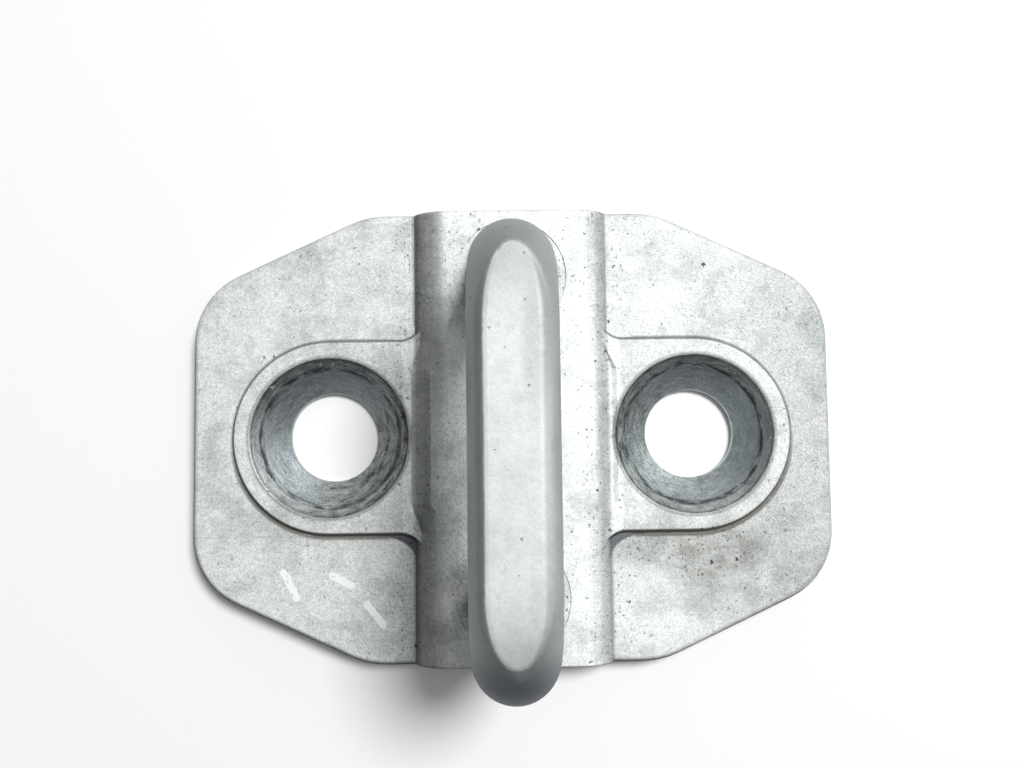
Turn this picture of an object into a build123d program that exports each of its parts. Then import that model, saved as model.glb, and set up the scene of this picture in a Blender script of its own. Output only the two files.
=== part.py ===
from build123d import *
from math import radians, tan
import os

# Car door striker: a coined steel base plate with a raised channel and two countersunk screw
# pads, and a loop of bent round bar. The loop's legs stand on the channel with an upset collar,
# pass through the plate as turned-down tenons and are peened over in the groove on its back.
# Millimetres. X runs along the two screw holes, Y along the loop, Z out of the mounting face.
# The origin lies on the back (mounting) face, midway between the two screw holes.

# Plate outline, an elongated hexagon with rounded corners
plate_length = 72.4
plate_width = 51.0
plate_thickness = 3.4
end_edge = 32.8
side_edge = 33.0
end_corner_radius = 8.5
side_corner_radius = 10.0
edge_roll_radius = 0.7

# Raised channel across the plate and the groove that it leaves on the back
channel_width = 22.0
channel_rise = 1.8
shoulder_radius = 4.2
channel_end_roll = 0.3
groove_width = 15.0
groove_depth = 2.2
groove_corner_radius = 1.2

# Screw pads, and the saddle facets where they cross the channel
pad_radius = 11.1
pad_rise = 0.8
pad_draft = 27.0
pad_edge_roll = 0.25
pad_flare_radius = 2.4
facet_width = 1.9
facet_run = 3.2
valley_width = 0.9
valley_depth = 0.2

# Countersunk holes for two M8 screws
screw_hole_radius = 5.1
countersink_radius = 9.0
countersink_angle = 100.0
countersink_rim_roll = 0.3
rim_to_channel = 0.6
head_mark_radius = 8.0
head_mark_depth = 0.12
hole_edge_roll = 0.2

# Loop of round bar, leaning along -Y, with a flat worked on top of its crossbar
rod_radius = 4.0
leg_spacing = 36.0
bar_height = 28.4
loop_lean = 2.8
bend_radius = 6.8
flat_depth = 1.1
flat_end_inset = 5.5
flat_end_radius = 14.0
flat_end_sweep = 60.0
flat_edge_roll = 1.4

# Seat of each leg in the plate
collar_radius = 4.9
collar_height = 0.8
collar_roll = 0.35
coin_mark_radius = 6.3
coin_mark_depth = 0.15
tenon_radius = 3.4
peen_radius = 5.4
peen_height = 1.5
peen_roll = 0.6

# Levels and places that follow from the sizes above
pad_top = plate_thickness + pad_rise
channel_top = plate_thickness + channel_rise
seat_level = channel_top - coin_mark_depth
shoulder_run = (2 * shoulder_radius * channel_rise - channel_rise**2) ** 0.5
channel_flat = channel_width - 2 * shoulder_run
rise_over_pad = channel_rise - pad_rise
pad_run = (2 * shoulder_radius * rise_over_pad - rise_over_pad**2) ** 0.5
width_at_pad = channel_flat + 2 * pad_run
screw_spacing = channel_width + 2 * (countersink_radius + rim_to_channel)
screw_places = [-screw_spacing / 2, screw_spacing / 2]
pad_edge = pad_radius - pad_rise * tan(radians(pad_draft))
facet_end = pad_edge - facet_run
facet_top = channel_width / 2 - facet_width
facet_slope = rise_over_pad / facet_width
cone_slope = tan(radians(countersink_angle / 2))
head_mark_level = pad_top - (countersink_radius - head_mark_radius) / cone_slope
hole_edge_level = pad_top - (countersink_radius - screw_hole_radius) / cone_slope
leg_y = leg_spacing / 2
leg_places = [(0, leg_y), (0, -leg_y)]
rod_bottom = seat_level - rod_radius
lean_below_seat = loop_lean * rod_radius / (bar_height - seat_level)
flat_level = bar_height + rod_radius - flat_depth
flat_half = leg_y - flat_end_inset
above_bar = bar_height + 2 * rod_radius

os.makedirs("parts", exist_ok=True)


# Base plate
with BuildPart() as base_plate:
    with BuildSketch() as outline:
        with BuildLine():
            Polyline(
                (plate_length / 2, end_edge / 2),
                (side_edge / 2, plate_width / 2),
                (-side_edge / 2, plate_width / 2),
                (-plate_length / 2, end_edge / 2),
                (-plate_length / 2, -end_edge / 2),
                (-side_edge / 2, -plate_width / 2),
                (side_edge / 2, -plate_width / 2),
                (plate_length / 2, -end_edge / 2),
                close=True,
            )
        make_face()
        by_length = outline.vertices().group_by(Axis.X)
        fillet(by_length[0] + by_length[-1], end_corner_radius)
        by_width = outline.vertices().group_by(Axis.Y)
        fillet(by_width[0] + by_width[-1], side_corner_radius)
    extrude(amount=plate_thickness)
    fillet(base_plate.edges().group_by(Axis.Z)[-1], edge_roll_radius)

    # Raised channel with rolled shoulders, from one long edge to the other
    with BuildSketch(Plane.XZ):
        with BuildLine():
            Polyline(
                (-channel_width / 2, plate_thickness),
                (-channel_width / 2, 0),
                (channel_width / 2, 0),
                (channel_width / 2, plate_thickness),
            )
            RadiusArc(
                (channel_width / 2, plate_thickness), (channel_flat / 2, channel_top), -shoulder_radius
            )
            Line((channel_flat / 2, channel_top), (-channel_flat / 2, channel_top))
            RadiusArc(
                (-channel_flat / 2, channel_top), (-channel_width / 2, plate_thickness), -shoulder_radius
            )
        make_face()
    extrude(amount=plate_width / 2, both=True)

    channel_ends = base_plate.edges().group_by(lambda e: abs(e.position_at(0.5).Y))[-1]
    fillet(channel_ends.filter_by(lambda e: e.position_at(0.5).Z > plate_thickness), channel_end_roll)

    # Pads round both holes, one coined slot shape that flares where it meets the channel
    with BuildSketch(Plane.XY.offset(plate_thickness)) as pads:
        SlotCenterToCenter(screw_spacing, 2 * pad_radius)
        Rectangle(width_at_pad, 2 * (pad_radius + 2 * pad_flare_radius))
        inner_corners = pads.vertices().group_by(lambda v: abs(v.X))[0]
        fillet(inner_corners.group_by(lambda v: abs(v.Y))[0], pad_flare_radius)
    extrude(amount=pad_rise, taper=pad_draft)
    pad_edges = base_plate.edges().filter_by_position(Axis.Z, pad_top, pad_top)
    pad_edges = pad_edges.filter_by(lambda e: abs(e.position_at(0.5).X) > width_at_pad / 2)
    fillet(pad_edges, pad_edge_roll)

    # Saddle between the pads: straight facets that melt into the rolled shoulders at both ends
    with BuildSketch(Plane.XZ) as facets:
        with BuildLine():
            Polyline(
                (-channel_width / 2, pad_top),
                (channel_width / 2, pad_top),
                (facet_top, channel_top),
                (-facet_top, channel_top),
                close=True,
            )
        make_face()
    extrude(amount=facet_end, both=True)
    with BuildSketch(Plane.XZ, mode=Mode.PRIVATE) as shoulders:
        with BuildLine():
            Line((-width_at_pad / 2, pad_top), (width_at_pad / 2, pad_top))
            RadiusArc((width_at_pad / 2, pad_top), (channel_flat / 2, channel_top), -shoulder_radius)
            Line((channel_flat / 2, channel_top), (-channel_flat / 2, channel_top))
            RadiusArc((-channel_flat / 2, channel_top), (-width_at_pad / 2, pad_top), -shoulder_radius)
        make_face()
    for end in (-1, 1):
        facet_section = facets.sketch.face().moved(Pos(0, end * facet_end, 0))
        shoulder_section = shoulders.sketch.face().moved(Pos(0, end * pad_edge, 0))
        loft([facet_section, shoulder_section], ruled=True)

    # Groove on the back, open at both ends
    with BuildSketch(Plane.XZ) as groove:
        Rectangle(groove_width, groove_depth, align=(Align.CENTER, Align.MIN))
        fillet(groove.vertices().group_by(Axis.Y)[-1], groove_corner_radius)
    extrude(amount=plate_width / 2, both=True, mode=Mode.SUBTRACT)

    # Countersunk screw holes
    with Locations(*[(screw_x, 0, pad_top) for screw_x in screw_places]):
        CounterSinkHole(
            radius=screw_hole_radius,
            counter_sink_radius=countersink_radius,
            counter_sink_angle=countersink_angle,
        )
    rims = base_plate.edges(Select.LAST).filter_by(GeomType.CIRCLE)
    fillet(rims.filter_by_position(Axis.Z, pad_top, pad_top), countersink_rim_roll)

    # Seat that each screw head has pressed into its countersink, and the eased edge of the hole
    for screw_x in screw_places:
        with BuildSketch(Plane.XZ):
            with BuildLine():
                Polyline(
                    (screw_x + screw_hole_radius, hole_edge_level),
                    (screw_x + head_mark_radius, head_mark_level),
                    (screw_x + head_mark_radius - head_mark_depth, head_mark_level - head_mark_depth),
                    (screw_x + screw_hole_radius, hole_edge_level - head_mark_depth),
                    close=True,
                )
            make_face()
        revolve(axis=Axis((screw_x, 0, 0), (0, 0, 1)), mode=Mode.SUBTRACT)
        hole_edge = base_plate.edges(Select.LAST).filter_by(GeomType.CIRCLE).group_by(Axis.Z)[0]
        fillet(hole_edge, hole_edge_roll)

    # Shallow valley between each facet and its pad, running out at both ends
    for side in (-1, 1):
        foot_x = side * channel_width / 2
        with BuildSketch(Plane.XZ) as valley:
            with BuildLine():
                Polyline(
                    (foot_x, pad_top),
                    (foot_x + side * valley_depth / facet_slope, pad_top - valley_depth),
                    (foot_x + side * valley_width, pad_top),
                    close=True,
                )
            make_face()
        extrude(amount=facet_end, both=True, mode=Mode.SUBTRACT)
        for end in (-1, 1):
            section = valley.sketch.face().moved(Pos(0, end * facet_end, 0))
            loft([section, Vertex(side * width_at_pad / 2, end * pad_edge, pad_top)], mode=Mode.SUBTRACT)

    # Coined seat and tenon hole under each leg
    with BuildSketch(Plane.XY.offset(channel_top)):
        with Locations(*leg_places):
            Circle(coin_mark_radius)
    extrude(amount=-coin_mark_depth, mode=Mode.SUBTRACT)
    with BuildSketch():
        with Locations(*leg_places):
            Circle(tenon_radius)
    extrude(amount=channel_top, mode=Mode.SUBTRACT)

base_plate.part.label = "base_plate"
export_step(base_plate.part, "parts/base_plate.step")


# Striker loop
with BuildPart() as striker_loop:
    with BuildLine(Plane.YZ) as bar_line:
        FilletPolyline(
            (leg_y + lean_below_seat, rod_bottom),
            (leg_y - loop_lean, bar_height),
            (-leg_y - loop_lean, bar_height),
            (-leg_y + lean_below_seat, rod_bottom),
            radius=bend_radius,
        )
    with BuildSketch(Plane(bar_line.line @ 0, z_dir=bar_line.line % 0)):
        Circle(rod_radius)
    sweep(path=bar_line.line)
    split(bisect_by=Plane.XY.offset(seat_level), keep=Keep.TOP)

    # Flat on top of the crossbar, easing down into both bends
    with BuildSketch(Plane.YZ):
        with BuildLine():
            flat_line = Line((-loop_lean - flat_half, flat_level), (-loop_lean + flat_half, flat_level))
            upper_ease = JernArc(flat_line @ 1, flat_line % 1, flat_end_radius, -flat_end_sweep)
            lower_ease = JernArc(flat_line @ 0, -(flat_line % 0), flat_end_radius, flat_end_sweep)
            Polyline(
                upper_ease @ 1,
                ((upper_ease @ 1).X, above_bar),
                ((lower_ease @ 1).X, above_bar),
                lower_ease @ 1,
            )
        make_face()
    extrude(amount=rod_radius, both=True, mode=Mode.SUBTRACT)
    flat_rim = striker_loop.edges(Select.LAST).filter_by(GeomType.CIRCLE, reverse=True)
    flat_rim = flat_rim.filter_by(Axis.X, reverse=True)
    fillet(flat_rim.sort_by(Axis.Y), flat_edge_roll)

    # Upset collar that seats each leg on the channel
    with BuildSketch(Plane.XY.offset(seat_level)):
        with Locations(*leg_places):
            Circle(collar_radius)
    extrude(amount=collar_height)
    collar_rims = striker_loop.edges(Select.LAST).filter_by(GeomType.CIRCLE).group_by(Axis.Z)[-1]
    fillet(collar_rims.filter_by(lambda e: e.radius > rod_radius), collar_roll)

    # Tenon through the plate and the head peened over in the groove
    with BuildSketch(Plane.XY.offset(groove_depth)):
        with Locations(*leg_places):
            Circle(tenon_radius)
    extrude(amount=seat_level - groove_depth)
    with BuildSketch(Plane.XY.offset(groove_depth)):
        with Locations(*leg_places):
            Circle(peen_radius)
    extrude(amount=-peen_height)
    fillet(striker_loop.edges().group_by(Axis.Z)[0], peen_roll)

striker_loop.part.label = "striker_loop"
export_step(striker_loop.part, "parts/striker_loop.step")
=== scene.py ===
import math
from functools import reduce

import bpy
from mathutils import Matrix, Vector

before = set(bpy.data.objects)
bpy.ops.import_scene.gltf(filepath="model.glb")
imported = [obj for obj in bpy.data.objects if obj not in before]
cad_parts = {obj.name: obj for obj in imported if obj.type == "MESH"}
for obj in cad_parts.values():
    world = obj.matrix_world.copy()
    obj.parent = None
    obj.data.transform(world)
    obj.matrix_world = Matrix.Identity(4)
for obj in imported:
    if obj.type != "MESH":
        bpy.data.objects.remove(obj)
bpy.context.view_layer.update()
bpy.ops.object.select_all(action="DESELECT")  # the CAD nodes come in selected
print("frame loaded:", ", ".join(sorted(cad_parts)))

mm = 0.001


class Flow:  # one output socket, so that shader maths reads as plain sums
    def __init__(self, finish, socket):
        self.finish = finish
        self.socket = socket

    def sum(self, operation, *terms):
        return self.finish.flow("ShaderNodeMath", {"operation": operation}, dict(enumerate(terms)))

    def __add__(self, other):
        return self.sum("ADD", self, other)

    def __radd__(self, other):
        return self.sum("ADD", other, self)

    def __sub__(self, other):
        return self.sum("SUBTRACT", self, other)

    def __rsub__(self, other):
        return self.sum("SUBTRACT", other, self)

    def __mul__(self, other):
        return self.sum("MULTIPLY", self, other)

    def __rmul__(self, other):
        return self.sum("MULTIPLY", other, self)

    def __truediv__(self, other):
        return self.sum("DIVIDE", self, other)

    def __rtruediv__(self, other):
        return self.sum("DIVIDE", other, self)

    def __pow__(self, other):
        return self.sum("POWER", self, other)

    def __rpow__(self, other):
        return self.sum("POWER", other, self)

    def __lt__(self, other):
        return self.sum("LESS_THAN", self, other)

    def __gt__(self, other):  # also the reflected form of less than
        return self.sum("GREATER_THAN", self, other)

    def __abs__(self):
        return self.sum("ABSOLUTE", self)

    def sign(self):
        return self.sum("SIGN", self)

    def most(self, other):
        return self.sum("MAXIMUM", self, other)

    def least(self, other):
        return self.sum("MINIMUM", self, other)

    def span(self, other):  # length of two runs at right angles
        return (self * self + other * other) ** 0.5

    def swing(self, weight):  # a noise about its middle
        return (self - 0.5) * weight

    def between(self, first, second):  # first at 0, second at 1
        return self * (second - first) + first


class Finish:  # one node tree, of a material or of the world
    def __init__(self, holder):
        holder.use_nodes = True
        self.holder = holder
        self.tree = holder.node_tree
        self.tree.nodes.clear()

    def node(self, kind, settings=None, inputs=None):
        made = self.tree.nodes.new(kind)
        for key, value in (settings or {}).items():
            setattr(made, key, value)
        for key, value in (inputs or {}).items():
            if isinstance(value, Flow):
                self.tree.links.new(value.socket, made.inputs[key])
            else:
                made.inputs[key].default_value = value
        return made

    def flow(self, kind, settings=None, inputs=None, output=0):
        return Flow(self, self.node(kind, settings, inputs).outputs[output])

    def place(self):  # object coordinates in millimetres
        where = self.flow("ShaderNodeTexCoord", output="Object")
        return self.flow("ShaderNodeVectorMath", {"operation": "SCALE"}, {0: where, "Scale": 1 / mm})

    def parts(self, vector):
        split = self.node("ShaderNodeSeparateXYZ", None, {0: vector})
        return [Flow(self, socket) for socket in split.outputs]

    def normal(self):  # the surface's own direction: east, north and up
        return self.parts(self.flow("ShaderNodeNewGeometry", output="Normal"))

    def join(self, across, along, up):
        return self.flow("ShaderNodeCombineXYZ", None, {0: across, 1: along, 2: up})

    def shift(self, vector, offset):
        return self.flow("ShaderNodeVectorMath", {"operation": "ADD"}, {0: vector, 1: offset})

    def stretch(self, vector, factors):
        return self.flow("ShaderNodeVectorMath", {"operation": "MULTIPLY"}, {0: vector, 1: factors})

    def shade(self, colour, factor):
        return self.flow("ShaderNodeVectorMath", {"operation": "SCALE"}, {0: colour, "Scale": factor})

    def tint(self, factor, first, second):
        inputs = {0: factor, 6: first, 7: second}
        return self.flow("ShaderNodeMix", {"data_type": "RGBA"}, inputs, output=2)

    def noise(self, vector, scale, detail, roughness=0.5, offset=None):
        moved = self.shift(vector, offset) if offset else vector
        inputs = {"Vector": moved, "Scale": scale, "Detail": detail, "Roughness": roughness}
        return self.flow("ShaderNodeTexNoise", None, inputs)

    def band(self, value, low, high):  # 0 at low, 1 at high, eased between
        settings = {"interpolation_type": "SMOOTHSTEP"}
        return self.flow("ShaderNodeMapRange", settings, {"Value": value, "From Min": low, "From Max": high})

    def line(self, value, outer, inner):  # 1 where the value is within inner of 0, eased out to outer
        return self.band(abs(value), outer, inner)

    def specks(self, vector, scale, size, share, smallest=0.45, core=0.5):  # round dots, in some cells only
        inputs = {"Vector": vector, "Scale": scale}
        cell = self.node("ShaderNodeTexVoronoi", {"voronoi_dimensions": "2D"}, inputs)
        chance, bulk = self.parts(Flow(self, cell.outputs["Color"]))[:2]
        edge = size * (smallest + bulk)
        return self.band(Flow(self, cell.outputs["Distance"]), edge, core * edge) * (chance < share)

    def patch(self, across, along, middle, reach):  # soft oval, 1 in its middle
        wide = (across - middle[0]) / reach[0]
        high = (along - middle[1]) / reach[1]
        return self.band(wide * wide + high * high, 1.0, 0.0)

    def patches(self, across, along, ovals):  # soft ovals, each times its weight
        return sum(self.patch(across, along, middle, reach) * weight for middle, reach, weight in ovals)

    def stroke(self, across, along, start, end):  # distance to a straight line from start to end
        run = [end[0] - start[0], end[1] - start[1]]
        length = run[0] ** 2 + run[1] ** 2
        share = ((across - start[0]) * run[0] + (along - start[1]) * run[1]) / length
        share = share.most(0.0).least(1.0)
        wide = across - start[0] - share * run[0]
        high = along - start[1] - share * run[1]
        return wide.span(high)

    def bump(self, height, depth):
        return self.flow("ShaderNodeBump", None, {"Strength": 1.0, "Distance": depth * mm, "Height": height})

    def close(self, inputs):  # the shader and the output of a material
        shader = self.flow("ShaderNodeBsdfPrincipled", None, inputs)
        self.node("ShaderNodeOutputMaterial", None, {"Surface": shader})
        return self.holder


def paint(red, green, blue):
    return (red, green, blue, 1.0)


# Plate: a pale zinc coat, mottled and pitted, with grime and painted shade at its steps, worn dark
# countersinks, and painted light and shade on its slopes and in soft ovals.
# Places are in millimetres. A pair is where a mask starts and where it is full, the two ends of a blend,
# or a left and a right value.
plateLook = {
    # the solid's own sizes
    "plateBack": 0.0, "plateTop": 3.4, "padTop": 4.2, "crownTop": 5.2, "padRadius": 11.1,
    "footAcross": 11.0, "legAlong": 18.0, "holeAcross": 20.6, "boreRadius": 5.1, "sinkRadius": 9.0,
    "slantAway": 30.06, "slantAcross": 0.419, "slantAlong": 0.908,  # one slanted edge, distance and direction
    # heights: a level, then where a mask starts and is full, counted from it
    "topRise": ("plateTop", -0.5, -0.1), "padRise": ("plateTop", 0.1, 0.3),
    "channelRise": ("crownTop", -0.6, -0.3), "crownRise": ("crownTop", -0.25, -0.02),
    "slopeRise": ("plateTop", -1.6, -0.6), "rolledDrop": ("plateTop", -0.01, -0.25),
    "brinkRise": ("plateTop", -1.2, -0.8), "pitRise": ("plateTop", -0.3, -0.1),
    "wallRise": ("plateTop", 0.02, 0.2), "wallDrop": ("padTop", -0.08, -0.4),
    "valleyDrop": ("padTop", -0.01, -0.14), "cornerDrop": ("padTop", -0.04, -0.25),
    "edgeRise": ("plateBack", 0.02, 0.2), "edgeDrop": ("plateTop", -0.28, -0.62),
    "sinkRise": ("plateBack", 0.05, 0.3), "lipRise": ("plateTop", 0.0, 0.3),
    # noises: scale, detail, roughness, offset
    "blotch": (0.17, 4.0, 0.6), "cloud": (0.45, 5.0, 0.62, (31.0, 7.0, 3.0)), "grain": (2.4, 3.0, 0.6),
    "stains": (0.30, 4.5, 0.6, (5.0, 43.0, 9.0)), "fleck": (4.6, 2.0, 0.7, (17.0, 2.0, 6.0)),
    "dust": (7.0, 1.0), "smear": (0.75, 6.0, 0.68), "smearStretch": (0.7, 1.0, 1.0),
    "brush": (1.4, 4.0, 0.65),
    # coat
    "pale": paint(0.735, 0.768, 0.752), "cool": paint(0.58, 0.618, 0.603),
    "warm": paint(0.757, 0.764, 0.732), "stain": paint(0.40, 0.42, 0.41),
    "metallic": 0.18, "roughness": 0.58, "specular": 0.15, "relief": 0.03,
    "cloudRough": 0.16, "grainRough": 0.10, "grimeRough": 0.3, "grainHeight": 0.5, "dustHeight": 0.35,
    "coolBand": (0.42, 0.64), "warmBand": (0.48, 0.66), "warmShare": 0.6, "stainBand": (0.56, 0.62),
    "stainShare": 0.30, "cloudDepth": 0.34, "grainDepth": 0.66, "dustDepth": 0.95, "fleckBand": (0.54, 0.74),
    "fleckDepth": 0.30, "greyAcross": (23.5, 30.5), "greyDepth": 0.20, "borderFrom": (0.8, 2.2),
    "borderTo": (8.0, 4.5), "borderAcross": (10.5, 13.5), "borderDepth": 0.09, "offPad": (-0.5, 0.1),
    "crownLift": 0.16,
    # a painted highlight on a strip of each pad beside the channel's foot
    "stripMiddle": 0.7, "stripHalf": (0.8, 0.45), "stripEnd": (0.5, -0.9), "stripRim": (0.1, 0.5),
    "stripHighlight": (0.26, 0.32),
    # soft ovals of painted light and shade, such as the loop's shadow on the channel and shade beside a
    # countersink, together with some tone
    "lightAndShadePatches": [((15.5, -19.0), (7.0, 7.5), 0.17), ((-20.0, -9.6), (11.0, 3.6), -0.13),
                    ((-15.5, -20.0), (6.5, 6.0), -0.06), ((-24.0, 10.0), (9.0, 7.0), 0.05),
                    ((15.0, 19.0), (8.0, 7.5), 0.09), ((13.6, -5.5), (4.0, 5.0), 0.18),
                    ((-28.5, -4.0), (4.0, 5.5), 0.15), ((-13.6, 6.5), (3.0, 4.0), -0.20),
                    ((-7.6, 19.5), (2.8, 6.0), -0.14), ((-7.3, 9.0), (3.2, 5.0), 0.28),
                    ((-5.6, -8.0), (2.8, 16.0), -0.26), ((-5.6, -16.5), (2.8, 3.6), -0.24),
                    ((6.8, 2.0), (4.2, 26.0), 0.10), ((6.8, -19.0), (4.0, 7.0), 0.07)],
    # painted shade on slopes facing away from the lamp, most on the rolled edge, on the channel's shoulders
    # and over the plate's brink
    "shadeEast": -0.55, "shadeNorth": -0.83, "shadeBand": (0.08, 0.55), "shadeDepth": (0.55, 0.80),
    "leftShoulder": (-7.0, -8.3), "leftAlong": (4.0, 11.0), "leftDepth": (0.18, 0.45),
    "rightShoulder": (9.2, 10.2), "rightDepth": 0.31, "shoulderFoot": (0.05, -0.3),
    "steep": (0.80, 0.45), "clearRim": (0.2, 0.6), "brinkDepth": 0.6,
    # grime, and lines of painted shade on walls, feet, creases and cut edges
    "grime": paint(0.17, 0.16, 0.14), "shadedAlong": (1.0, -6.0), "litFootAlong": (-12.0, -8.0),
    "litFootAcross": (0.0, 1.0), "litFootShare": 0.8,
    "dirtBand": (0.34, 0.66), "dirtCover": (0.4, 0.9), "dirtDepth": 0.70, "lineBand": (0.16, 0.46),
    "wallRim": (0.2, 0.5), "wallFoot": (0.0, 0.3), "wallDepth": (0.1, 0.75),
    "padFootMiddle": 0.04, "padFootOuter": (0.18, 0.54), "padFootInner": (0.02, 0.16),
    "padFootFrom": (2.0, 3.5), "padFootDepth": (0.5, 0.9),
    "footMiddle": 0.05, "footHalf": (0.32, 0.05), "footEnd": (1.5, 2.5), "footDepth": 0.5,
    "valleyMiddle": 0.02, "valleyHalf": (0.24, 0.04), "valleyEnd": (-0.3, -1.1), "valleyRim": (0.0, 0.3),
    "valleyDepth": (0.42, 0.14), "legFoot": (5.9, 4.95), "legDepth": 0.55, "edgeDepth": 0.65,
    "grimeMost": 0.92,
    "dirtPatches": [((17.0, -12.8), (7.0, 3.2), 0.75), ((24.4, -12.9), (5.4, 4.2), 1.0),
                    ((21.0, -14.8), (5.0, 3.0), 0.7), ((23.5, -18.4), (6.0, 2.8), 0.4)],
    # painted shade in the corners between pads and channel
    "cornerShade": paint(0.085, 0.09, 0.105), "cornerWide": 4.6, "cornerHigh": 2.9, "cornerBand": (0.94, 1.10),
    "cornerBelow": (-0.2, 0.1), "cornerFoot": (-0.2, -0.05), "cornerDepth": (0.91, 0.85),
    # pits: the shares are of cells that hold one, and each of the three sorts has a scale and a size
    "pit": paint(0.02, 0.02, 0.02), "pitDepth": 0.88, "pitHeight": 1.6, "pitFoot": (4.0, 0.2),
    "pitLeg": (10.0, 5.5), "pitShare": 0.035, "footShare": 0.26, "dirtShare": 0.5, "legShare": 0.2,
    "tear": 0.9, "middlePits": (0.85, 0.11), "middleBand": (0.40, 0.62),
    "largePits": (0.36, 0.075), "largeShare": 0.35, "finePits": (2.1, 0.17), "fineShare": 1.2,
    "fineDepth": 0.75, "fineOffset": (3.1, 8.7, 0.0),
    # countersinks: headMark is the ring that the screw's head left
    "steel": paint(0.455, 0.497, 0.52), "olive": paint(0.42, 0.43, 0.385), "soot": paint(0.05, 0.05, 0.055),
    "seat": paint(0.46, 0.475, 0.445), "headMark": 8.0, "holeOffset": 4.3,
    "steelRoughness": 0.42, "scoredRough": 0.3, "scoredHeight": 1.2,
    "sunkRim": (0.05, -0.12), "seatFrom": (0.06, 0.2), "boreFrom": (0.08, -0.05),
    "scored": (2.6, 5.0, 5.0, 0.7),  # noises round a hole: radial and turning scale, detail, roughness
    "caked": (1.5, 3.4, 5.0, 0.72), "beads": (2.4, 3.2, 5.0, 0.68),
    "sectorTurn": 1.3, "sectorReach": 0.25, "sectorDetail": 3.0, "scuffSector": 1.1, "scuffOutward": 0.42,
    "scuffNorth": 0.34, "scuffBand": (0.42, 0.92), "scuffShare": (1.0, 0.5), "scuffScratch": 2.6,
    "oliveShare": 0.8, "seatShare": 0.5, "scratch": 0.8, "sinkDust": 1.5, "sinkLevel": (0.95, 1.09),
    # the next keys include painted light on the cones' outer walls and painted shade on their north walls
    "outwardLight": (0.19, 0.37), "northShade": 0.09, "darkest": 0.10,
    "cakedBand": (0.55, 0.68), "cakedShare": (0.2, 0.9),
    "rimMiddle": -0.14, "rimHalf": (0.42, 0.06), "rimBand": (0.40, 0.56), "rimDepth": 0.85,
    "shineMiddle": 0.16, "shineHalf": (0.14, 0.02), "shineBand": (0.58, 0.44), "shineShare": 0.5,
    # painted shade in the bore and on each countersink's rim
    "boreShadeDepth": 0.45, "lipMiddle": 0.02, "lipHalf": (0.46, 0.12), "lipShadeDepth": 0.42,
    # white paint dabs
    "dab": paint(0.95, 0.96, 0.96), "dabDepth": 0.92, "dabHalf": 0.5, "dabSoft": 0.16, "dabRagged": 0.7,
    "dryBand": (0.30, 0.44), "dabHeight": 0.9,
    "dabs": [((-25.9, -15.0), (-24.4, -17.9)), ((-20.4, -15.5), (-18.3, -16.6)),
             ((-16.5, -18.7), (-14.7, -21.0))],
}


class PlatePlan:  # where a point lies against the plate's features, and the noises that several masks share
    def __init__(self, finish, look):
        self.finish = finish
        self.look = look
        self.where = finish.place()
        self.across, self.along, self.up = finish.parts(self.where)
        self.end = abs(self.along)
        self.handed = self.across.sign()
        self.inHole = abs(self.across) - look["holeAcross"]
        self.reach = self.inHole.span(self.along)  # distance from the nearer hole's axis
        self.fromRim = self.reach - look["sinkRadius"]
        self.fromMark = self.reach - look["headMark"]
        self.fromPad = self.inHole.most(0.0).span(self.along) - look["padRadius"]
        self.pastPad = self.end - look["padRadius"]
        self.fromFoot = abs(self.across) - look["footAcross"]
        self.fromLeg = self.across.span(self.end - look["legAlong"])
        self.onTop = self.rising("topRise")
        self.cloud, self.grain, self.dust, self.fleck = [
            finish.noise(self.where, *look[name]) for name in ("cloud", "grain", "dust", "fleck")
        ]

    def rising(self, name):  # eased between two heights, which count from a level of the plate
        level, low, high = self.look[name]
        return self.finish.band(self.up, self.look[level] + low, self.look[level] + high)

    def sides(self, left, right):  # one value left of the channel's middle, another right of it
        return self.handed * ((right - left) / 2) + (left + right) / 2


def mottleCoat(finish, at, look):
    blotch = finish.noise(at.where, *look["blotch"])
    stains = finish.noise(at.where, *look["stains"])
    colour = finish.tint(finish.band(blotch, *look["coolBand"]), look["pale"], look["cool"])
    colour = finish.tint(finish.band(at.cloud, *look["warmBand"]) * look["warmShare"], colour, look["warm"])
    return finish.tint(finish.band(stains, *look["stainBand"]) * look["stainShare"], colour, look["stain"])


def toneCoat(finish, at, look):  # a fine grain, greyer at one end and along one slanted edge, paler on the crown, with painted light and shade in soft ovals and a painted highlight beside the channel
    tone = 1.0 + at.cloud.swing(look["cloudDepth"]) + at.grain.swing(look["grainDepth"])
    tone = tone + at.dust.swing(look["dustDepth"])
    tone = tone - finish.band(at.fleck, *look["fleckBand"]) * look["fleckDepth"]
    fromSlant = look["slantAway"] - at.across * look["slantAcross"] - at.along * look["slantAlong"]
    border = finish.band(fromSlant, *look["borderFrom"]) * finish.band(fromSlant, *look["borderTo"])
    border = border * finish.band(at.across, *look["borderAcross"]) * look["borderDepth"]
    greyed = (finish.band(at.across, *look["greyAcross"]) * look["greyDepth"]).most(border)
    tone = tone - greyed * finish.band(at.fromPad, *look["offPad"])
    # painted light and shade in soft ovals
    tone = tone + finish.patches(at.across, at.along, look["lightAndShadePatches"])
    # painted highlight on a strip of each pad beside the channel's foot
    strip = finish.line(at.fromFoot - look["stripMiddle"], *look["stripHalf"])
    strip = strip * finish.band(at.pastPad, *look["stripEnd"])
    strip = strip * finish.band(at.fromRim, *look["stripRim"]) * at.rising("padRise")
    tone = tone + strip * at.sides(*look["stripHighlight"])
    return tone + at.rising("crownRise") * look["crownLift"]


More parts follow.
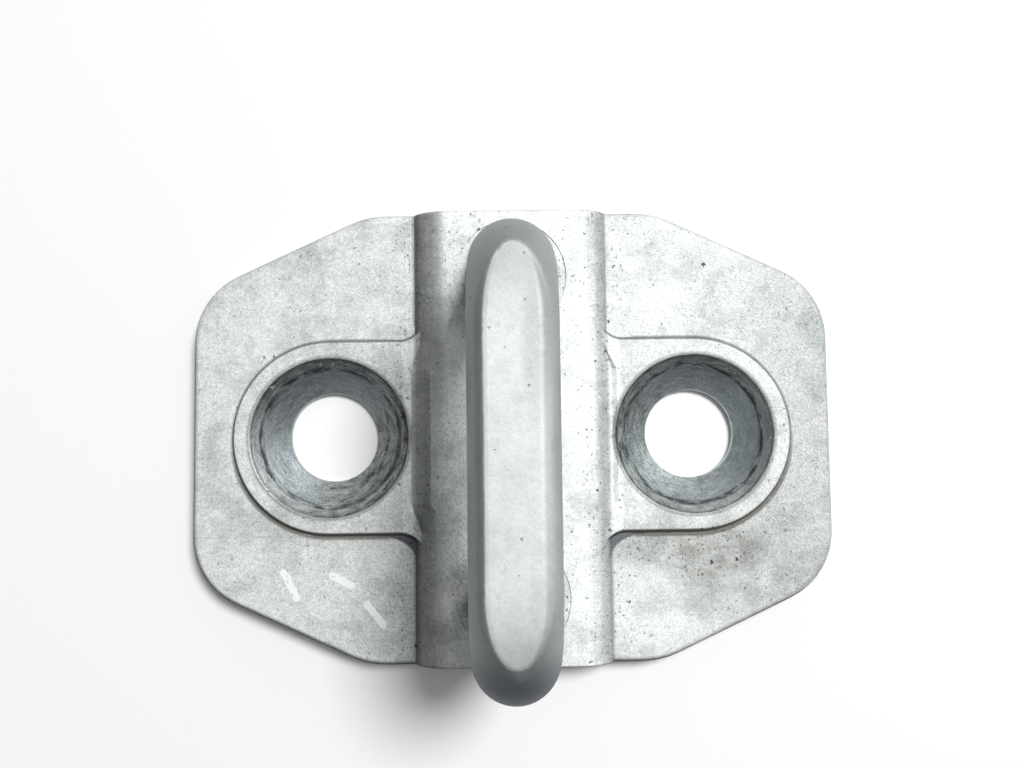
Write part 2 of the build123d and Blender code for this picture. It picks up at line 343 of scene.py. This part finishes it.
def paintSlopeShade(finish, at, look):  # painted shade: darker on slopes that face away from the lamp, most on the rolled edge, on the channel's shoulders and over the plate's brink
    east, north, facing = finish.normal()
    away = finish.band(east * look["shadeEast"] + north * look["shadeNorth"], *look["shadeBand"])
    away = away * at.rising("slopeRise") * at.rising("rolledDrop").between(*look["shadeDepth"])
    left = finish.band(at.across, *look["leftShoulder"])
    left = left * finish.band(at.along, *look["leftAlong"]).between(*look["leftDepth"])
    right = finish.band(at.across, *look["rightShoulder"]) * look["rightDepth"]
    shoulders = (left + right) * finish.band(at.fromFoot, *look["shoulderFoot"]) * at.rising("padRise")
    brink = finish.band(facing, *look["steep"]) * at.rising("brinkRise")
    brink = brink * finish.band(at.fromRim, *look["clearRim"]) * look["brinkDepth"]
    return (1.0 - away) * (1.0 - shoulders) * (1.0 - brink)


def makeGrimeAndShade(finish, at, look):  # dirt under one pad and round both legs, and dark lines of dirt and painted shade on walls, feet, creases and cut edges, heavier on the side away from the lamp
    smear = finish.noise(finish.stretch(at.where, look["smearStretch"]), *look["smear"])
    dirt = finish.patches(at.across, at.along, look["dirtPatches"]).least(1.0)
    dirt = dirt * finish.band(smear, *look["dirtBand"]).between(*look["dirtCover"]) * at.onTop
    # painted shade: the pads' walls and feet are darker on the side away from the lamp
    shadedSide = finish.band(at.along, *look["shadedAlong"])
    padWall = at.rising("wallRise") * at.rising("wallDrop") * finish.band(at.fromRim, *look["wallRim"])
    padWall = padWall * finish.band(at.fromFoot, *look["wallFoot"])
    outer = shadedSide.between(*look["padFootOuter"])
    inner = shadedSide.between(*look["padFootInner"])
    padFoot = finish.line(at.fromPad - look["padFootMiddle"], outer, inner)
    padFoot = padFoot * finish.band(at.fromFoot, *look["padFootFrom"]) * at.onTop
    # painted shade with some dirt in the creases at the channel's foot and in the valleys; the foot line is
    # weaker where the lamp lights it
    foot = finish.line(at.fromFoot - look["footMiddle"], *look["footHalf"])
    foot = foot * finish.band(at.pastPad, *look["footEnd"]) * at.onTop
    litFoot = finish.band(at.across, *look["litFootAcross"]) * finish.band(at.along, *look["litFootAlong"])
    foot = foot * (1.0 - litFoot * look["litFootShare"])
    valley = finish.line(at.fromFoot - look["valleyMiddle"], *look["valleyHalf"]) * at.rising("valleyDrop")
    valley = valley * finish.band(at.pastPad, *look["valleyEnd"])
    valley = valley * finish.band(at.fromRim, *look["valleyRim"])
    legFoot = finish.band(at.fromLeg, *look["legFoot"]) * at.rising("channelRise")
    # the cut edges: their own darker colour, deepened as painted shade
    cutEdge = at.rising("edgeRise") * at.rising("edgeDrop") * finish.band(at.fromRim, *look["clearRim"])
    lines = padWall * shadedSide.between(*look["wallDepth"]) + padFoot * shadedSide.between(*look["padFootDepth"])
    lines = lines + foot * look["footDepth"] + valley * at.sides(*look["valleyDepth"])
    lines = lines + legFoot * look["legDepth"] + cutEdge * look["edgeDepth"]
    lines = lines * finish.band(smear, *look["lineBand"])
    return dirt, (dirt * look["dirtDepth"] + lines).least(look["grimeMost"])


def makeCornerShade(finish, at, look):  # painted shade below each pad's wall, rounded off outwards and downwards
    below = -look["padRadius"] - at.along
    wide = 1.0 - (at.fromFoot / look["cornerWide"]).most(0.0).least(1.0)
    high = 1.0 - (below / look["cornerHigh"]).most(0.0).least(1.0)
    cornerShade = finish.band(wide ** 2.0 + high ** 2.0, *look["cornerBand"])
    cornerShade = cornerShade * finish.band(below, *look["cornerBelow"])
    cornerShade = cornerShade * finish.band(at.fromFoot, *look["cornerFoot"])
    return cornerShade * at.rising("cornerDrop") * at.onTop


def makePits(finish, at, look, dirt):  # thick along the channel's foot, round the legs and in the dirt
    nearFoot = finish.line(at.fromFoot, *look["pitFoot"])
    nearLeg = finish.band(at.fromLeg, *look["pitLeg"]) * at.rising("channelRise")
    crowd = nearFoot * look["footShare"] + dirt * look["dirtShare"] + nearLeg * look["legShare"]
    crowd = crowd + look["pitShare"]
    tear = look["tear"]
    torn = finish.join(at.across + at.grain.swing(tear), at.along + at.fleck.swing(tear), 0.0)
    clouded = finish.band(at.cloud, *look["middleBand"])
    middle = finish.specks(torn, *look["middlePits"], crowd * clouded)
    large = finish.specks(torn, *look["largePits"], crowd * look["largeShare"])
    moved = finish.shift(torn, look["fineOffset"])
    fine = finish.specks(moved, *look["finePits"], crowd * look["fineShare"])
    return middle.most(large).most(fine * look["fineDepth"]) * at.rising("pitRise")


def makeSteel(finish, at, look):  # smooth and bluish outwards, scuffed by the screw heads inwards, with painted light on the outer walls and painted shade on the north walls and in the bore
    outward = at.inHole / at.reach
    northward = at.along / at.reach
    turned = outward + at.handed * look["holeOffset"]  # so that the two holes differ

    def ringNoise(radial, turning, detail, roughness):
        ring = finish.join(at.reach * radial, turned * turning, northward * turning)
        return finish.noise(ring, 1.0, detail, roughness)

    turn = look["sectorTurn"]
    sector = finish.join(turned * turn, northward * turn, at.reach * look["sectorReach"])
    sector = finish.noise(sector, 1.0, look["sectorDetail"]) * look["scuffSector"]
    scuffed = sector - outward * look["scuffOutward"] - northward * look["scuffNorth"]
    scuffed = finish.band(scuffed, *look["scuffBand"]) * at.sides(*look["scuffShare"])
    scored = ringNoise(*look["scored"])
    seat = finish.band(at.fromMark, *look["seatFrom"])
    steel = finish.tint(scuffed * look["oliveShare"], look["steel"], look["olive"])
    steel = finish.tint(seat * look["seatShare"], steel, look["seat"])
    # painted light and shade on the cone: lighter on the outer wall, darker on the north wall
    level = at.sides(*look["sinkLevel"]) + outward * at.sides(*look["outwardLight"])
    level = level - northward * look["northShade"] + at.dust.swing(look["sinkDust"])
    level = level + scored.swing(scuffed * look["scuffScratch"] + seat + look["scratch"])
    steel = finish.shade(steel, level.most(look["darkest"]))
    caked = finish.band(ringNoise(*look["caked"]), *look["cakedBand"])
    steel = finish.tint(caked * scuffed.between(*look["cakedShare"]), steel, look["soot"])
    beads = ringNoise(*look["beads"])
    rim = finish.line(at.fromMark - look["rimMiddle"], *look["rimHalf"])
    rim = rim * finish.band(beads, *look["rimBand"])
    steel = finish.tint(rim * look["rimDepth"], steel, look["soot"])
    shine = finish.line(at.fromMark - look["shineMiddle"], *look["shineHalf"])
    shine = shine * finish.band(beads, *look["shineBand"])
    steel = finish.tint(shine * look["shineShare"], steel, look["warm"])
    # painted shade in the bore
    shadedBore = finish.band(at.reach - look["boreRadius"], *look["boreFrom"])
    return finish.shade(steel, 1.0 - shadedBore * look["boreShadeDepth"]), scored


def makeDabs(finish, at, look):  # thin where the brush ran dry
    brush = finish.noise(at.where, *look["brush"])
    nearest = reduce(Flow.least, [finish.stroke(at.across, at.along, *ends) for ends in look["dabs"]])
    ragged = nearest + brush.swing(look["dabRagged"])
    dabs = finish.band(ragged, look["dabHalf"], look["dabHalf"] - look["dabSoft"])
    return dabs * finish.band(brush, *look["dryBand"]) * at.onTop


def makePlateFinish(look):
    finish = Finish(bpy.data.materials.new("zincPlateFinish"))
    at = PlatePlan(finish, look)
    # the coat's tone, times painted shade on the slopes
    tone = toneCoat(finish, at, look) * paintSlopeShade(finish, at, look)
    colour = finish.shade(mottleCoat(finish, at, look), tone)
    # grime holds the dirt and also the lines of painted shade
    dirt, grime = makeGrimeAndShade(finish, at, look)
    colour = finish.tint(grime, colour, look["grime"])
    # painted shade in the corners below the pads
    paintedCornerShade = makeCornerShade(finish, at, look) * at.sides(*look["cornerDepth"])
    colour = finish.tint(paintedCornerShade, colour, look["cornerShade"])
    pits = makePits(finish, at, look, dirt)
    colour = finish.tint(pits * look["pitDepth"], colour, look["pit"])
    sunk = finish.band(at.fromRim, *look["sunkRim"]) * at.rising("sinkRise")
    steel, scored = makeSteel(finish, at, look)
    # painted shade on the countersinks' rims, dimming their highlight
    shadedLip = finish.line(at.fromRim - look["lipMiddle"], *look["lipHalf"]) * at.rising("lipRise")
    colour = finish.shade(finish.tint(sunk, colour, steel), 1.0 - shadedLip * look["lipShadeDepth"])
    dabs = makeDabs(finish, at, look)
    colour = finish.tint(dabs * look["dabDepth"], colour, look["dab"])
    metallic = sunk.between(look["metallic"], 1.0) * (1.0 - grime) * (1.0 - pits) * (1.0 - dabs)
    coat = look["roughness"] + at.cloud.swing(look["cloudRough"]) + at.grain.swing(look["grainRough"])
    coat = coat + grime * look["grimeRough"]
    worn = look["steelRoughness"] + scored.swing(look["scoredRough"])
    height = at.grain * look["grainHeight"] + at.dust * look["dustHeight"] + dabs * look["dabHeight"]
    height = height - pits * look["pitHeight"] + scored.swing(sunk * look["scoredHeight"])
    return finish.close({
        "Base Color": colour, "Metallic": metallic, "Roughness": sunk.between(coat, worn),
        "Specular IOR Level": look["specular"], "Normal": finish.bump(height, look["relief"]),
    })


# Loop: the same coat on bent bar, rubbed pale and satin on its flat, dull on its sides and legs, with painted
# shade where they turn from the lamp
loopLook = {
    "pale": paint(0.68, 0.71, 0.69), "cool": paint(0.60, 0.635, 0.62), "mark": paint(0.45, 0.465, 0.45),
    "dullAndShaded": paint(0.27, 0.292, 0.29), "bendShade": paint(0.070, 0.081, 0.098), "grime": paint(0.10, 0.095, 0.085),
    "metallic": 0.18, "dullMetallic": 0.55, "roughness": 0.5, "specular": 0.15, "relief": 0.02,
    # noises: scale, detail, roughness, offset
    "cloud": (0.20, 4.0, 0.6), "spots": (0.55, 4.0, 0.58, (12.0, 3.0, 40.0)), "grain": (2.6, 3.0, 0.6),
    "dust": (8.0, 1.0), "smear": (0.9, 5.0, 0.65), "flecks": (1.5, 2.0, 0.5, (2.0, 9.0, 5.0)),
    "coolBand": (0.40, 0.68), "markBand": (0.56, 0.68), "markShare": 0.36,
    "spotDepth": 0.34, "grainDepth": 0.24, "dustDepth": 0.30, "grainHeight": 0.5, "dustHeight": 0.3,
    "spotRough": 0.14, "grainRough": 0.06, "grimeRough": 0.2,
    # the flat: a surface leans by 0 where it is level and by 1 where it is upright
    "topEnd": (8.0, 16.0), "lowEnd": (-19.0, -12.0), "eastDrift": (0.30, 0.06), "steadyDrift": 0.10,
    "westBand": (-0.02, -0.35), "westDrift": 0.14, "topDrift": 0.09, "ragged": 0.22,
    "rubbedLean": (0.66, 0.30), "rubbedUp": (24.0, 27.0), "rubbedFacing": (0.0, 0.1),
    # the ring keys paint a highlight round the flat's top end; the shade keys paint shade at its ends and
    # east edge
    "rubbedLevel": 1.05, "ringLean": 0.50, "ringHalf": (0.13, 0.02), "ringHighlight": 0.22,
    "topShade": (7.0, 14.0), "topDepth": 0.22, "lowShade": (-11.0, -19.0), "lowDepth": 0.32,
    "eastShade": (0.05, 0.35), "eastDepth": 0.28, "rubMark": ((1.9, 7.5), (1.7, 7.0)), "rubDepth": 0.20,
    # the rest of the bar: dull, with painted shade in the low bend and painted light on the east side
    "bendShadeAlong": (-16.5, -21.6), "bendShadeUp": (17.0, 24.5), "eastBand": (0.2, 0.8), "eastLight": (1.0, 1.2),
    "seatLevel": 5.05, "footHeight": 2.2, "tenonUp": (4.0, 4.9), "smearBand": (0.42, 0.62), "footDepth": 0.7,
    "fleckBand": (0.735, 0.77), "fleckDepth": 0.55,
}


def makeLoopFinish(look):
    finish = Finish(bpy.data.materials.new("zincLoopFinish"))
    where = finish.place()
    across, along, up = finish.parts(where)
    cloud, spots, grain, dust, smear, flecks = [
        finish.noise(where, *look[name]) for name in ("cloud", "spots", "grain", "dust", "smear", "flecks")
    ]
    colour = finish.tint(finish.band(cloud, *look["coolBand"]), look["pale"], look["cool"])
    colour = finish.tint(finish.band(spots, *look["markBand"]) * look["markShare"], colour, look["mark"])

    # Pale where it lies nearly level, the rubbed flat, reaching further down on the east side toward the lamp
    # as painted light
    normal = finish.normal()
    east = normal[0]
    facing = normal[2]
    lean = (1.0 - facing * facing).most(0.0) ** 0.5
    top = finish.band(along, *look["topEnd"])
    drift = finish.band(along, *look["lowEnd"]) * top.between(*look["eastDrift"]) + look["steadyDrift"]
    drift = east * drift - finish.band(east, *look["westBand"]) * look["westDrift"]
    rubbedAndLit = lean - drift - top * look["topDrift"] + spots.swing(look["ragged"])
    rubbedAndLit = finish.band(rubbedAndLit, *look["rubbedLean"])
    rubbedAndLit = rubbedAndLit * finish.band(up, *look["rubbedUp"]) * finish.band(facing, *look["rubbedFacing"])
    # painted shade at the flat's ends and east edge, and one grey mark
    shadeAndMark = finish.band(along, *look["topShade"]) * look["topDepth"]
    shadeAndMark = shadeAndMark + finish.band(along, *look["lowShade"]) * look["lowDepth"]
    shadeAndMark = shadeAndMark + finish.band(east, *look["eastShade"]) * look["eastDepth"]
    shadeAndMark = shadeAndMark + finish.patch(across, along, *look["rubMark"]) * look["rubDepth"]
    # painted highlight: a thin bright ring round the flat's top end
    ring = finish.line(lean - drift - look["ringLean"], *look["ringHalf"]) * top
    colour = finish.shade(colour, look["rubbedLevel"] - shadeAndMark + ring * look["ringHighlight"])

    # Dull elsewhere, with painted shade darkest in the low bend that faces away from the lamp, and painted
    # light on the east side
    bendShaded = finish.band(along, *look["bendShadeAlong"]) * finish.band(up, *look["bendShadeUp"])
    dullAndShaded = finish.tint(bendShaded, look["dullAndShaded"], look["bendShade"])
    dullAndShaded = finish.shade(dullAndShaded, finish.band(east, *look["eastBand"]).between(*look["eastLight"]))
    tone = 1.0 + spots.swing(look["spotDepth"]) + grain.swing(look["grainDepth"])
    tone = tone + dust.swing(look["dustDepth"])
    colour = finish.shade(finish.tint(rubbedAndLit, dullAndShaded, colour), tone)

    # Grime round the feet, and a few dark flecks
    footed = finish.band(up, look["seatLevel"] + look["footHeight"], look["seatLevel"])
    footed = footed * finish.band(up, *look["tenonUp"])
    flecks = finish.band(flecks, *look["fleckBand"]) * look["fleckDepth"]
    grime = (footed * finish.band(smear, *look["smearBand"]) * look["footDepth"]).most(flecks)
    colour = finish.tint(grime, colour, look["grime"])
    metallic = rubbedAndLit.between(look["dullMetallic"], look["metallic"]) * (1.0 - grime)
    roughness = look["roughness"] + spots.swing(look["spotRough"]) + grain.swing(look["grainRough"])
    roughness = roughness + grime * look["grimeRough"]
    height = grain * look["grainHeight"] + dust * look["dustHeight"] - flecks
    return finish.close({
        "Base Color": colour, "Metallic": metallic, "Roughness": roughness,
        "Specular IOR Level": look["specular"], "Normal": finish.bump(height, look["relief"]),
    })


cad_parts["base_plate"].data.materials[0] = makePlateFinish(plateLook)
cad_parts["striker_loop"].data.materials[0] = makeLoopFinish(loopLook)
print("finishes made")

# Floor, a hair below the plate's back (side in metres, level in millimetres)
floorLook = {
    "side": 8.0, "level": -0.05, "colour": paint(0.93, 0.93, 0.925), "roughness": 0.9, "specular": 0.1,
}
bpy.ops.mesh.primitive_plane_add(size=floorLook["side"], location=(0, 0, floorLook["level"] * mm))
floor = bpy.context.active_object
floor.name = "floor"
floor.data.materials.append(Finish(bpy.data.materials.new("floorFinish")).close({
    "Base Color": floorLook["colour"], "Roughness": floorLook["roughness"],
    "Specular IOR Level": floorLook["specular"],
}))
print("floor laid")

# Studio light: one soft lamp from the upper right, wide glows overhead and behind, and a grey horizon
domeLook = {
    "rest": 0.015, "horizon": 0.13, "horizonTop": 0.5, "colour": paint(0.98, 0.99, 1.0),
    "glows": [  # direction, where it starts and is full as cosines, strength
        ((0.0, 0.0, 1.0), (0.80, 0.98), 0.28),
        ((0.55, 0.15, 0.82), (0.70, 0.97), 0.58),
        ((0.05, 0.94, 0.34), (0.74, 0.98), 0.42),
        ((-0.40, 0.10, 0.91), (0.88, 0.985), 0.22),
    ],
}
lampLook = {"towards": (0.343, 0.343, 0.875), "distance": 0.8, "size": 0.26, "power": 5.8}


def makeDome(look):
    world = bpy.data.worlds.new("dome")
    bpy.context.scene.world = world
    dome = Finish(world)
    across, along, up = dome.parts(dome.flow("ShaderNodeTexCoord", output="Generated"))
    strength = dome.band(abs(up), look["horizonTop"], 0.0) * look["horizon"] + look["rest"]
    for towards, spread, level in look["glows"]:
        lobe = Vector(towards).normalized()
        near = across * lobe.x + along * lobe.y + up * lobe.z
        strength = dome.band(near, *spread) * level + strength
    light = dome.flow("ShaderNodeBackground", None, {"Color": look["colour"], "Strength": strength})
    dome.node("ShaderNodeOutputWorld", None, {"Surface": light})


def makeLamp(look):
    lamp = bpy.data.lights.new("keyLamp", "AREA")
    lamp.shape = "DISK"
    lamp.size = look["size"]
    lamp.energy = look["power"]
    holder = bpy.data.objects.new("keyLamp", lamp)
    bpy.context.scene.collection.objects.link(holder)
    towards = Vector(look["towards"]).normalized()
    holder.location = towards * look["distance"]
    holder.rotation_euler = towards.to_track_quat("Z", "Y").to_euler()


makeDome(domeLook)
makeLamp(lampLook)
print("light set")

# Camera, straight above and close, as a hand-held picture
cameraLook = {
    "location": (-0.615 * mm, 0.12 * mm, 100.055 * mm),
    "turn": (3.4095, -0.3549, -0.7013),  # degrees
    "focalPixels": 850.0,
    "imageWidth": 1024.0,
    "sensorWidth": 36.0,
    "clipStart": 1 * mm,
}
lens = bpy.data.cameras.new("camera")
lens.sensor_width = cameraLook["sensorWidth"]
lens.lens = cameraLook["sensorWidth"] * cameraLook["focalPixels"] / cameraLook["imageWidth"]
lens.clip_start = cameraLook["clipStart"]
camera = bpy.data.objects.new("camera", lens)
camera.location = cameraLook["location"]
camera.rotation_euler = [math.radians(angle) for angle in cameraLook["turn"]]
bpy.context.scene.collection.objects.link(camera)
bpy.context.scene.camera = camera
bpy.context.scene.view_settings.view_transform = "Standard"
print("camera set")
